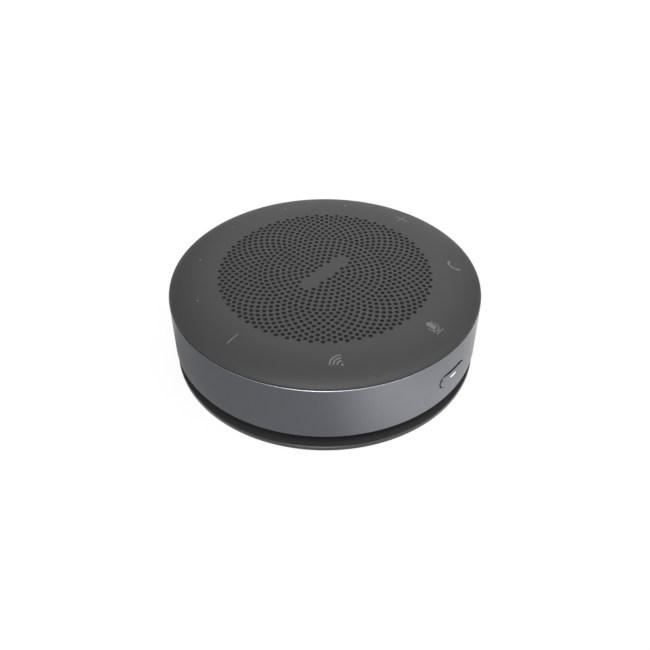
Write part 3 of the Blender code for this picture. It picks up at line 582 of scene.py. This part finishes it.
# The bar's nose: how much narrower than the bar, and how far behind its front.
BAR_NOSE = ((0.0, 0.12), (0.1, 0.03), (0.3, 0.0))
bar_rings = np.stack(
    [front_ring(BAR_W, BAR_H, BAR_BACK)]
    + [on_face(BAR_W - slim, BAR_H - slim, BAR_SINK + short) for slim, short in BAR_NOSE]
)
bar_look = grained("lit_acrylic", (0.80, 0.80, 0.82), (0.86, 0.86, 0.88), 0.4, 0.4, 0.004)
bar_shader = bar_look.node_tree.nodes["Principled BSDF"]
bar_shader.inputs["Emission Color"].default_value = (1.0, 1.0, 1.0, 1.0)
bar_shader.inputs["Emission Strength"].default_value = BAR_GLOW
piece(
    "button_window", *loft(bar_rings), bar_look,
    body="power_button", replaces=["power_button_light_guide"], slot="power_lens",
)

# Grille cloth: an open black polyester weave, heat-cut to a disc and glued under the perforations so that
# neither dust nor the driver shows through the holes.
CLOTH_R, CLOTH_TOP, CLOTH_THICK, CLOTH_SAG = 43.9, 34.2, 0.2, 0.06
THREAD, THREAD_RISE = 0.32, 0.1
# A wave texture of scale 1 repeats after this length.
WAVE_LENGTH = 0.314


def math_of(tree, operation, first, second):
    """The value that a math node makes from two others."""
    node = add_node(tree, "Math", operation=operation)
    tree.links.new(first, node.inputs[0])
    tree.links.new(second, node.inputs[1])
    return node.outputs["Value"]


# The weave's bump is the product of two waves, one for each direction of the threads.
cloth_look = grained("cloth_yarn", 0.028, 0.046, 0.85, 0.2, 0.02)
tree = cloth_look.node_tree
where = add_node(tree, "TexCoord").outputs["Object"]
threads = []
for axis in ("X", "Y"):
    wave = add_node(tree, "TexWave", {"Scale": WAVE_LENGTH / (THREAD * MM)}, bands_direction=axis)
    tree.links.new(where, wave.inputs["Vector"])
    threads.append(wave.outputs["Fac"])
weave_bump = add_node(tree, "Bump", {"Distance": THREAD_RISE * MM})
tree.links.new(math_of(tree, "MULTIPLY", *threads), weave_bump.inputs["Height"])
tree.links.new(weave_bump.outputs["Normal"], tree.nodes["Principled BSDF"].inputs["Normal"])
cloth_r = np.linspace(0, CLOTH_R, 48)
cloth_z = CLOTH_TOP - CLOTH_SAG * (1 - (cloth_r / CLOTH_R) ** 2)
cloth_profile = np.concatenate(
    [np.stack([cloth_r, cloth_z - CLOTH_THICK], -1), np.stack([cloth_r, cloth_z], -1)[::-1]]
)
cloth = piece(
    "grille_weave", *revolve(cloth_profile, SMALL_SIDES), cloth_look,
    replaces=["grille_cloth"], slot="grille_cloth",
)

# Top cover: one moulding with a matte grey soft-touch coat outside. The darker grey of its hole walls and
# underside is painted shade in the holes. It is flat over the driver and falls in an elliptic shoulder to a
# short upright rim.
# The holes run in rings, six more in each out to the tenth and then 60 in each, round a bare stadium.
COVER_TOP, COVER_UNDER, FLAT_R, SKIRT_LOW = 36.5, 34.5, 45.9, 28.55
RIM_R, RIM_Z, RIM_SOFT, RIM_BREAK, SHOULDER_RUN, SHOULDER_FALL = 62.2, 32.15, 0.12, 0.08, 16.97, 5.27
FIRST_PITCH, RING_GAP, CORE_RINGS, ALL_RINGS = 2.395, 2.459, 10, 21
HOLE_R, HOLE_SOFT, HOLE_SIDES = 0.82, 0.03, 14
BARE_HALF, BARE_R = 10.0, 3.1
PLATE_R, PLATE_SIDES = 44.0, 360
# Painted paling of the hole walls: where it starts and ends below the mouths, and how many times as light.
PALE_WALL_FROM, PALE_WALL_FULL, PALE_WALL_TIMES = 0.25, 0.7, 2.1


def shoulder_z(r):
    """Height of the cover's outside at radius r: flat to FLAT_R, then an ellipse SHOULDER_RUN wide and
    SHOULDER_FALL deep that the upright rim cuts off before it is steep."""
    share = np.clip((r - FLAT_R) / SHOULDER_RUN, 0, 1)
    return COVER_TOP - SHOULDER_FALL * (1 - np.sqrt(1 - share**2))


def ring_of_holes(count, radius, half_step):
    """Centres of evenly spaced holes on one ring, turned by half a step where asked."""
    t = (np.arange(count) + half_step / 2) * 2 * np.pi / count
    return radius * np.stack([np.cos(t), np.sin(t)], -1)


def at_height(flat, z):
    """Points of a plan, as (x, y), at one height."""
    return np.concatenate([flat, np.full((*flat.shape[:-1], 1), z)], -1)


ring_sizes = [6 * min(k, CORE_RINGS) for k in range(1, ALL_RINGS + 1)]
ring_radii = [FIRST_PITCH * k for k in range(1, CORE_RINGS + 1)]
for k in range(CORE_RINGS, ALL_RINGS):
    # From here a ring lies RING_GAP from its neighbour's holes: law of cosines at half a step, solved for r.
    half_turn = math.pi / ring_sizes[k]
    last = ring_radii[-1]
    ring_radii.append(
        last * math.cos(half_turn) + math.sqrt(RING_GAP**2 - (last * math.sin(half_turn)) ** 2)
    )
centres = np.concatenate(
    [ring_of_holes(n, r, k % 2) for k, (n, r) in enumerate(zip(ring_sizes, ring_radii), start=1)]
)
from_bare = np.hypot(np.maximum(np.abs(centres[:, 0]) - BARE_HALF, 0), centres[:, 1])
centres = centres[from_bare > BARE_R]
# Each hole's outline starts on the line out from the middle.
circle = full_turn(HOLE_SIDES) + np.arctan2(centres[:, 1], centres[:, 0])[:, None]
spokes = np.stack([np.cos(circle), np.sin(circle)], -1)


def hole_rows(radius, z):
    """Rings of every perforation at one height."""
    return at_height(centres[:, None] + radius * spokes, z)


plate_t = full_turn(PLATE_SIDES)
plate_edge = PLATE_R * np.stack([np.cos(plate_t), np.sin(plate_t)], -1)
mouths = hole_rows(HOLE_R + HOLE_SOFT, COVER_TOP)
plate_points = np.concatenate([plate_edge, mouths[..., :2].reshape(-1, 2)])
edge_index = np.arange(PLATE_SIDES)[None]
mouth_index = numbered(mouths, PLATE_SIDES)
plate_hole = np.full(len(plate_points), -1)
plate_hole[mouth_index] = np.arange(len(centres))[:, None]
plate_net = triangles_over(
    plate_points, np.concatenate([loop_edges(edge_index), loop_edges(mouth_index)]), plate_hole
)
# Shoulder, rim and inner side: the section from the plate's underside round to its top, turned.
rim_turn = math.asin((RIM_R - 0.5 * RIM_SOFT - FLAT_R) / SHOULDER_RUN)
shoulder_r = FLAT_R + SHOULDER_RUN * np.sin(np.linspace(0, rim_turn, 40)[1:])
shoulder = np.stack([shoulder_r, shoulder_z(shoulder_r)], -1)
# The rim's upper corner is rounded by one point between its two ends, pushed out a little.
rim_edge = np.array([RIM_R, shoulder[-1, 1] - 1.2 * RIM_SOFT])
rim_round = (rim_edge + shoulder[-1]) / 2 + 0.12 * RIM_SOFT
side_profile = np.concatenate(
    [
        [(SPIGOT_IN, COVER_UNDER), (SPIGOT_IN, SKIRT_LOW), (SPIGOT_R, SKIRT_LOW), (SPIGOT_R, RIM_Z)],
        [(RIM_R - RIM_BREAK, RIM_Z), (RIM_R, RIM_Z + RIM_BREAK)],
        [rim_edge, rim_round],
        shoulder[::-1],
        [(FLAT_R, COVER_TOP)],
    ]
)
side_rows = turned(side_profile, plate_t)
top = at_height(plate_points, COVER_TOP)
under_edge, under_mouths = at_height(plate_edge, COVER_UNDER), hole_rows(HOLE_R, COVER_UNDER)
# The mouth of each hole is a quarter round.
throat = np.stack(
    [
        hole_rows(HOLE_R + HOLE_SOFT * (1 - np.sin(a)), COVER_TOP - HOLE_SOFT * (1 - np.cos(a)))
        for a in EDGE_TURNS
    ],
    1,
)
throat_index = numbered(throat, 2 * len(top))
side_index = numbered(side_rows, throat_index.max() + 1)
walls = np.concatenate([mouth_index[:, None], throat_index, mouth_index[:, None] + len(top)], 1)
wall_faces = bands(walls)
side_faces = bands(np.concatenate([edge_index + len(top), side_index, edge_index]))
cover_points = np.concatenate(
    [top, under_edge, under_mouths.reshape(-1, 3), throat.reshape(-1, 3), side_rows.reshape(-1, 3)]
)
cover = piece(
    "cover_shell", cover_points, [plate_net, plate_net[:, ::-1] + len(top), wall_faces, side_faces],
    grained("soft_touch_coat", 0.094, 0.106, 0.52, 0.18, 0.008),
    replaces=["top_cover"], slot="cover_plastic", crease=40, flat=2 * len(plate_net),
)
# The bare plastic is black at the mouths, and from PALE_WALL_FROM to PALE_WALL_FULL below them dust pales it.
# Painted shade: the hole walls and the underside are a darker grey, and from 0.25 to 0.7 mm below the mouths
# the grey is painted paler, up to 2.1 times as light, to even out the shading down the holes.
hole_shade_look = grained("hole_wall_shade", 0.038, 0.046, 0.55, 0.3, 0.01)
tree = hole_shade_look.node_tree
height = add_node(tree, "SeparateXYZ")
pale_wall_depth = ((COVER_TOP - PALE_WALL_FROM) * MM, (COVER_TOP - PALE_WALL_FULL) * MM)
paled_wall = add_node(tree, "VectorMath", operation="SCALE")
tree.links.new(add_node(tree, "TexCoord").outputs["Object"], height.inputs["Vector"])
tree.links.new(tree.nodes["Color Ramp"].outputs["Color"], paled_wall.inputs[0])
tree.links.new(map_range(tree, height.outputs["Z"], pale_wall_depth, (1.0, PALE_WALL_TIMES)), paled_wall.inputs["Scale"])
tree.links.new(paled_wall.outputs["Vector"], tree.nodes["Principled BSDF"].inputs["Base Color"])
second_look(cover, hole_shade_look, len(plate_net), 2 * len(plate_net) + len(wall_faces))

# Status lights: five frosted pins of one acrylic light guide, moulded with the arc that joins them and
# pushed up through the shoulder until their round ends stand just clear of it.
DOT_RING, DOT_R, DOT_DOME, DOT_PROUD = 51.9, 0.43, 0.24, 0.1
DOT_TURNS = np.radians([30, 60, 90, 120, 150])
RAIL_LOW, RAIL_HIGH, RAIL_HALF, RAIL_ENDS = 31.6, 33.0, 1.0, (27, 153)
PIN_ROOT, PIN_SIDES = 0.4, 24


def joined(meshes):
    """Several (points, faces) meshes as one. Each one's point numbers move on past the points before it."""
    starts = np.cumsum([0] + [len(points) for points, _ in meshes])
    faces = [array + start for start, (_, arrays) in zip(starts, meshes) for array in arrays]
    return np.concatenate([points for points, _ in meshes]), faces


dot_top = float(shoulder_z(DOT_RING)) + DOT_PROUD
dome = np.linspace(0, np.pi / 2, 9)[:-1]
pin_profile = np.concatenate(
    [
        [(0, RAIL_HIGH - PIN_ROOT), (DOT_R, RAIL_HIGH - PIN_ROOT)],
        np.stack([DOT_R * np.cos(dome), dot_top - DOT_DOME * (1 - np.sin(dome))], -1),
        [(0, dot_top)],
    ]
)
pin_points, pin_faces = revolve(pin_profile, PIN_SIDES)
pins = [(pin_points + (DOT_RING * math.cos(t), DOT_RING * math.sin(t), 0), pin_faces) for t in DOT_TURNS]
rail_t = np.radians(np.linspace(*RAIL_ENDS, 64))
rail_in, rail_out = DOT_RING - RAIL_HALF, DOT_RING + RAIL_HALF
rail_section = [(rail_out, RAIL_LOW), (rail_out, RAIL_HIGH), (rail_in, RAIL_HIGH), (rail_in, RAIL_LOW)]
rail_rings = turned(rail_section, rail_t).transpose(1, 0, 2)
guide_look = grained("frosted_acrylic", (0.38, 0.38, 0.385), (0.46, 0.46, 0.465), 0.4, 0.3, 0.004)
piece(
    "status_lights", *joined([loft(rail_rings), *pins]), guide_look,
    replaces=["status_light_guide"], slot="status_lens",
)

# Touch symbols: marks laser-etched through the dark skin of the shoulder, pale grey and a few hundredths of
# a millimetre thick. From the left round the front: minus, radio waves, muted microphone, handset, plus.
ETCH_RING, ETCH_LINE, ETCH_RISE, ETCH_ROOT, ETCH_BLUNT = 52.2, 0.42, 0.03, 0.08, 0.02
WAVE_DOT, WAVE_LINE, CAPSULE_W = 1.0, 0.6, 2.15
HANDSET_AT, HANDSET_HALF, HANDSET_BOW = (0.95, -0.05), 2.95, 1.9
GRIP_W, EAR_MORE, EAR_FROM, EAR_STEEP = 0.7, 0.6, 0.8, 20


def stroke(path, width):
    """A raised line along a path of (x, y) points: the width runs level to each side, drawn in to round ends
    by half = w / 2 sqrt(1 - (1 - s / (w / 2))^2) within half a width of an end, s being the length to it.
    The root is of ETCH_BLUNT at least, so that no end is a sharp point."""
    path = np.asarray(path, float)
    half = np.broadcast_to(np.asarray(width, float), len(path)) / 2
    step = np.gradient(path, axis=0)
    step /= np.linalg.norm(step, axis=1, keepdims=True)
    side = np.stack([-step[:, 1], step[:, 0]], -1)
    run = np.concatenate([[0], np.cumsum(np.linalg.norm(np.diff(path, axis=0), axis=1))])
    near = np.clip(np.minimum(run, run[-1] - run) / half, 0, 1)
    half = half * np.sqrt(np.clip(1 - (1 - near) ** 2, ETCH_BLUNT, 1))
    left, right = path + side * half[:, None], path - side * half[:, None]
    return np.stack([left, right, right, left], 1)


def line(start, end, steps=24):
    """Evenly spaced points on a straight run."""
    return np.linspace(start, end, steps)


def etched(rings, degrees):
    """A stroke's rings, drawn round (0, 0), put on the shoulder at that angle. Their upper points stand
    ETCH_RISE out of it and their lower ones ETCH_ROOT in it."""
    flat = rings + ETCH_RING * np.array([math.cos(math.radians(degrees)), math.sin(math.radians(degrees))])
    z = shoulder_z(np.hypot(flat[..., 0], flat[..., 1])) + (ETCH_RISE, ETCH_RISE, -ETCH_ROOT, -ETCH_ROOT)
    return np.concatenate([flat, z[..., None]], -1)


minus = [line((-2.65, 0), (3.3, 0))]
plus = [line((-3.1, 0), (3.1, 0)), line((0, -3.1), (0, 3.1))]
waves = [arc((0, -1.95), r, 45, 135) for r in (1.75, 3.1, 4.45)]
holder = np.concatenate(
    [
        line((-2.0, 1.35), (-2.0, 0.15), 8)[:-1],
        arc((0, 0.15), 2.0, 180, 360),
        line((2.0, 0.15), (2.0, 1.35), 8)[1:],
    ]
)
stand = [line((0, -1.9), (0, -2.8)), line((-2.2, -2.8), (2.2, -2.8)), line((-2.1, -1.85), (2.25, 2.65), 40)]
# The handset is half an ellipse, turned a little, that widens from the grip to the two ear pieces.
grip = np.radians(np.linspace(-8, 188, 72))[:, None]
along, bow = np.array((0.23, 0.973)), np.array((-0.973, 0.23))
handset = HANDSET_AT + HANDSET_HALF * np.cos(grip) * along + HANDSET_BOW * np.sin(grip) * bow
ear_share = 1 / (1 + np.exp(-(np.abs(np.cos(grip[:, 0])) - EAR_FROM) * EAR_STEEP))
symbols = [
    (180, [(path, ETCH_LINE) for path in minus]),
    (-135, [(line((0, -2.35), (0, -1.55)), WAVE_DOT)] + [(path, WAVE_LINE) for path in waves]),
    (-90, [(line((0.05, -0.78), (0.05, 3.35), 60), CAPSULE_W)]),
    (-90, [(path, ETCH_LINE) for path in (holder, *stand)]),
    (-45, [(handset, GRIP_W + EAR_MORE * ear_share)]),
    (0, [(path, ETCH_LINE) for path in plus]),
]
marks = [loft(etched(stroke(*each), degrees)) for degrees, strokes in symbols for each in strokes]
piece("touch_symbols", *joined(marks), grained("etched_marks", 0.28, 0.33, 0.6, 0.2, 0.004))

# Rubber pad: a die-cut disc of soft black rubber with shallow moulded ribs, glued into a recess under the
# base so that the puck doesn't creep on the table.
PAD_R, PAD_TOP, PAD_SOFT, PAD_BORDER, PAD_SIDES = 54.3, 1.6, 0.4, 1.2, 180
RIB_PITCH, RIB_DEPTH, RIB_STEEP, RIB_SHIFT = 3.6, 0.25, 2.0, 0.6
pad_r = np.linspace(0.0, PAD_R - PAD_BORDER, 240)
# The grooves between the ribs are a sine of the radius, steepened and cut off flat at both ends.
ribs = RIB_DEPTH * np.clip(np.sin(pad_r * 2 * np.pi / RIB_PITCH) * RIB_STEEP - RIB_SHIFT, 0, 1)
pad_profile = np.concatenate(
    [
        np.stack([pad_r, ribs], -1),
        arc((PAD_R - PAD_SOFT, PAD_SOFT), PAD_SOFT, -90, 0, 6),
        [(PAD_R, PAD_TOP), (0, PAD_TOP)],
    ]
)
pad_look = grained("soft_rubber", 0.014, 0.024, 0.75, 0.25, 0.02)
piece(
    "rubber_pad", *revolve(pad_profile, PAD_SIDES), pad_look,
    replaces=["foot_pad"], slot="pad_rubber", crease=30,
)

# Floor: a white table that shows white to the camera and keeps the puck's shadow. To mirror rays a grey
# card covers its front, darkest at the camera's left, up to a white ring by the lip. It is clear from below.
VIEW_TURN = -140.0
CARD_TURN, CARD_EDGE, CARD_REACH = -4.0, (-0.017, 0.013), 0.1
# Tones across the card, each as (metres to the camera's left, strength).
CARD_TONES = ((-0.078, 0.70), (-0.055, 0.99), (-0.040, 0.97), (-0.004, 0.39), (0.078, 0.265))
LIP_RING, LIP_RING_SHARE = (0.0635, 0.0665), 0.15
SHADE_RING, SHADE_TONE = (0.070, 0.082), 0.88
PALE_RING, FLOOR_GLOW = (0.2, 0.7), 0.9
FLOOR_GREY, FLOOR_LIT = (0.8, 0.8, 0.8, 1), (0.2, 0.2, 0.2, 1)
FLOOR_HALF, FLOOR_Z = 6, -0.00005


def mix_shader(tree, factor, first, second):
    """One of two shaders, or both by the factor's share."""
    node = add_node(tree, "MixShader")
    tree.links.new(factor, node.inputs["Fac"])
    tree.links.new(first, node.inputs[1])
    tree.links.new(second, node.inputs[2])
    return node.outputs["Shader"]


def measured(tree, where, degrees=None):
    """Metres from the puck's axis: straight out or, with an angle, in that one direction over the floor."""
    if degrees is None:
        node = add_node(tree, "VectorMath", operation="LENGTH")
    else:
        way = (math.cos(math.radians(degrees)), math.sin(math.radians(degrees)), 0)
        node = add_node(tree, "VectorMath", {1: way}, operation="DOT_PRODUCT")
    tree.links.new(where, node.inputs[0])
    return node.outputs["Value"]


floor_look = bpy.data.materials.new("floor_white")
floor_look.use_nodes = True
tree = floor_look.node_tree
link = tree.links.new
tree.nodes.remove(tree.nodes["Principled BSDF"])
rays = add_node(tree, "LightPath").outputs
where = add_node(tree, "TexCoord").outputs["Object"]
reach = measured(tree, where)
ahead = measured(tree, where, VIEW_TURN + CARD_TURN)
to_left = measured(tree, where, VIEW_TURN - 90)
# The card's tones run across the camera's view, and just outside the lip it is a little darker.
tone = add_node(tree, "ValToRGB")
for _ in CARD_TONES[2:]:
    tone.color_ramp.elements.new(0.5)
for stop, (left, strength) in zip(tone.color_ramp.elements, CARD_TONES):
    stop.position = (left + CARD_REACH) / (2 * CARD_REACH)
    stop.color = (strength, strength, strength, 1)
link(map_range(tree, to_left, (-CARD_REACH, CARD_REACH)), tone.inputs["Fac"])
shade = map_range(tree, reach, SHADE_RING, (SHADE_TONE, 1.0))
in_front = map_range(tree, ahead, CARD_EDGE, interpolation="SMOOTHSTEP")
past_lip = map_range(tree, reach, LIP_RING, (LIP_RING_SHARE, 1.0))
card = add_node(tree, "Mix", {"A": 1.0})
link(math_of(tree, "MULTIPLY", in_front, past_lip), card.inputs["Factor"])
link(math_of(tree, "MULTIPLY", tone.outputs["Color"], shade), card.inputs["B"])
# All other rays see a glow that is a little weaker near the puck.
mirrored = add_node(tree, "Mix")
link(rays["Is Glossy Ray"], mirrored.inputs["Factor"])
link(map_range(tree, reach, PALE_RING, (FLOOR_GLOW, 1.0)), mirrored.inputs["A"])
link(card.outputs["Result"], mirrored.inputs["B"])
# Camera, mirror and transmission rays see the glow. Matte surfaces get their light from a plain grey floor.
glow, shown = add_node(tree, "Emission"), add_node(tree, "AddShader")
link(mirrored.outputs["Result"], glow.inputs["Strength"])
link(add_node(tree, "BsdfDiffuse", {"Color": FLOOR_LIT}).outputs["BSDF"], shown.inputs[0])
link(glow.outputs["Emission"], shown.inputs[1])
seen = math_of(tree, "MAXIMUM", rays["Is Camera Ray"], rays["Is Glossy Ray"])
seen = math_of(tree, "MAXIMUM", seen, rays["Is Transmission Ray"])
plain = add_node(tree, "BsdfDiffuse", {"Color": FLOOR_GREY}).outputs["BSDF"]
from_above = mix_shader(tree, seen, plain, shown.outputs["Shader"])
from_below = add_node(tree, "BsdfTransparent").outputs["BSDF"]
underside = add_node(tree, "NewGeometry").outputs["Backfacing"]
link(mix_shader(tree, underside, from_above, from_below), tree.nodes["Material Output"].inputs["Surface"])
floor_mesh = bpy.data.meshes.new("floor")
floor_points = [(x * FLOOR_HALF, y * FLOOR_HALF, FLOOR_Z) for x, y in corners.tolist()]
floor_mesh.from_pydata(floor_points, [], [(0, 1, 2, 3)])
floor_mesh.materials.append(floor_look)
floor = bpy.data.objects.new("floor", floor_mesh)
bpy.context.collection.objects.link(floor)

# Room: plain white to the camera, with a faint even light from above and a fuller one from below, so that
# the underside can be looked at through the floor.
WHITE = (1, 1, 1, 1)
ROOM_ABOVE, ROOM_BELOW, ROOM_TURN = 0.06, 0.6, (0.0, -0.1)
world = bpy.data.worlds.new("studio")
bpy.context.scene.world = world
world.use_nodes = True
tree = world.node_tree
ambient = tree.nodes["Background"]
ambient.inputs["Color"].default_value = WHITE
backdrop = add_node(tree, "Background", {"Color": WHITE, "Strength": 1.0}).outputs["Background"]
heading = add_node(tree, "SeparateXYZ")
tree.links.new(add_node(tree, "TexCoord").outputs["Generated"], heading.inputs["Vector"])
room_light = map_range(tree, heading.outputs["Z"], ROOM_TURN, (ROOM_ABOVE, ROOM_BELOW))
tree.links.new(room_light, ambient.inputs["Strength"])
to_camera = add_node(tree, "LightPath").outputs["Is Camera Ray"]
room = mix_shader(tree, to_camera, ambient.outputs["Background"], backdrop)
tree.links.new(room, tree.nodes["World Output"].inputs["Surface"])

# Lamps: a soft box over the camera, one at its right, a faint one at its left and two behind the puck, all a
# metre away and turned to its middle.
TARGET = Vector((0, 0, 0.00878))
LAMP_DISTANCE = 1.0


def towards(turn, rise):
    """Direction from the puck's middle, turn degrees round from the camera and rise degrees upward."""
    a, e = math.radians(VIEW_TURN + turn), math.radians(rise)
    return Vector((math.cos(a) * math.cos(e), math.sin(a) * math.cos(e), math.sin(e)))


def place_facing(obj, away, distance):
    """Puts a lamp or camera at that distance in the direction away, looking back at the puck's middle."""
    obj.location = TARGET + away * distance
    obj.rotation_euler = (-away).to_track_quat("-Z", "Y").to_euler()
    bpy.context.collection.objects.link(obj)


def soft_box(name, turn, rise, size, power):
    """A rectangular lamp, turn degrees to the camera's right and rise degrees above the table."""
    lamp = bpy.data.lights.new(name, "AREA")
    lamp.shape, lamp.size, lamp.size_y, lamp.energy = "RECTANGLE", *size, power
    place_facing(bpy.data.objects.new(name, lamp), towards(turn, rise), LAMP_DISTANCE)


soft_box("front_box", -5, 55, (0.5, 0.5), 3.9)
soft_box("right_box", 62, 55, (0.6, 0.5), 1.9)
soft_box("left_box", -60, 42, (0.5, 0.5), 0.25)
soft_box("back_box", 172, 43, (0.6, 0.5), 0.85)
soft_box("rear_box", 174, 20, (0.9, 0.4), 1.25)

# Camera: the photograph's own view from the front left, a third of a metre away. It was fitted to the rings
# of holes and the band's edges.
VIEW_RISE, VIEW_DISTANCE = 40.33, 0.3231
camera = bpy.data.objects.new("camera", bpy.data.cameras.new("camera"))
camera.data.lens, camera.data.sensor_width, camera.data.clip_start = 42.2, 36.0, 0.01
place_facing(camera, towards(0, VIEW_RISE), VIEW_DISTANCE)
bpy.context.scene.camera = camera
bpy.context.scene.view_settings.view_transform = "Standard"
